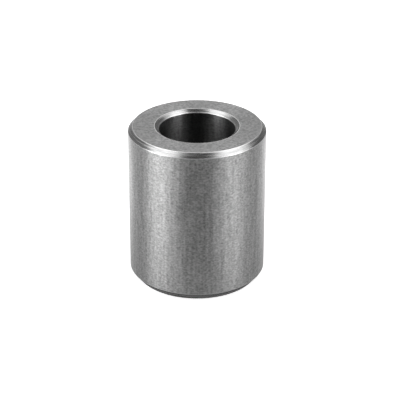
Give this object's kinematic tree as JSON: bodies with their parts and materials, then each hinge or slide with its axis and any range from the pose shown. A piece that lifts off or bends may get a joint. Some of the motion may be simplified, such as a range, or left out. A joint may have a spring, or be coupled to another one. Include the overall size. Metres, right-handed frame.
{
  "type": "drill bushing",
  "caption": "Headless press-fit drill bushing: a hardened steel sleeve that is pressed into a jig plate and guides a drill through its bore.",
  "frame": {"origin": "centre of the bottom face, the end with the lead-in that is pressed into the plate first", "axes": "+Z along the axis of the bore, towards the end where the drill goes in; X and Y are free, because the part is round"},
  "size_m": [0.016, 0.016, 0.0188],
  "materials": {
    "ground_steel": "hardened tool steel, ground round the outside and the bore, with bright chamfers and finely ground ends"
  },
  "bodies": {
    "root": {"drill_bushing": "ground_steel"}
  },
  "joints": []
}
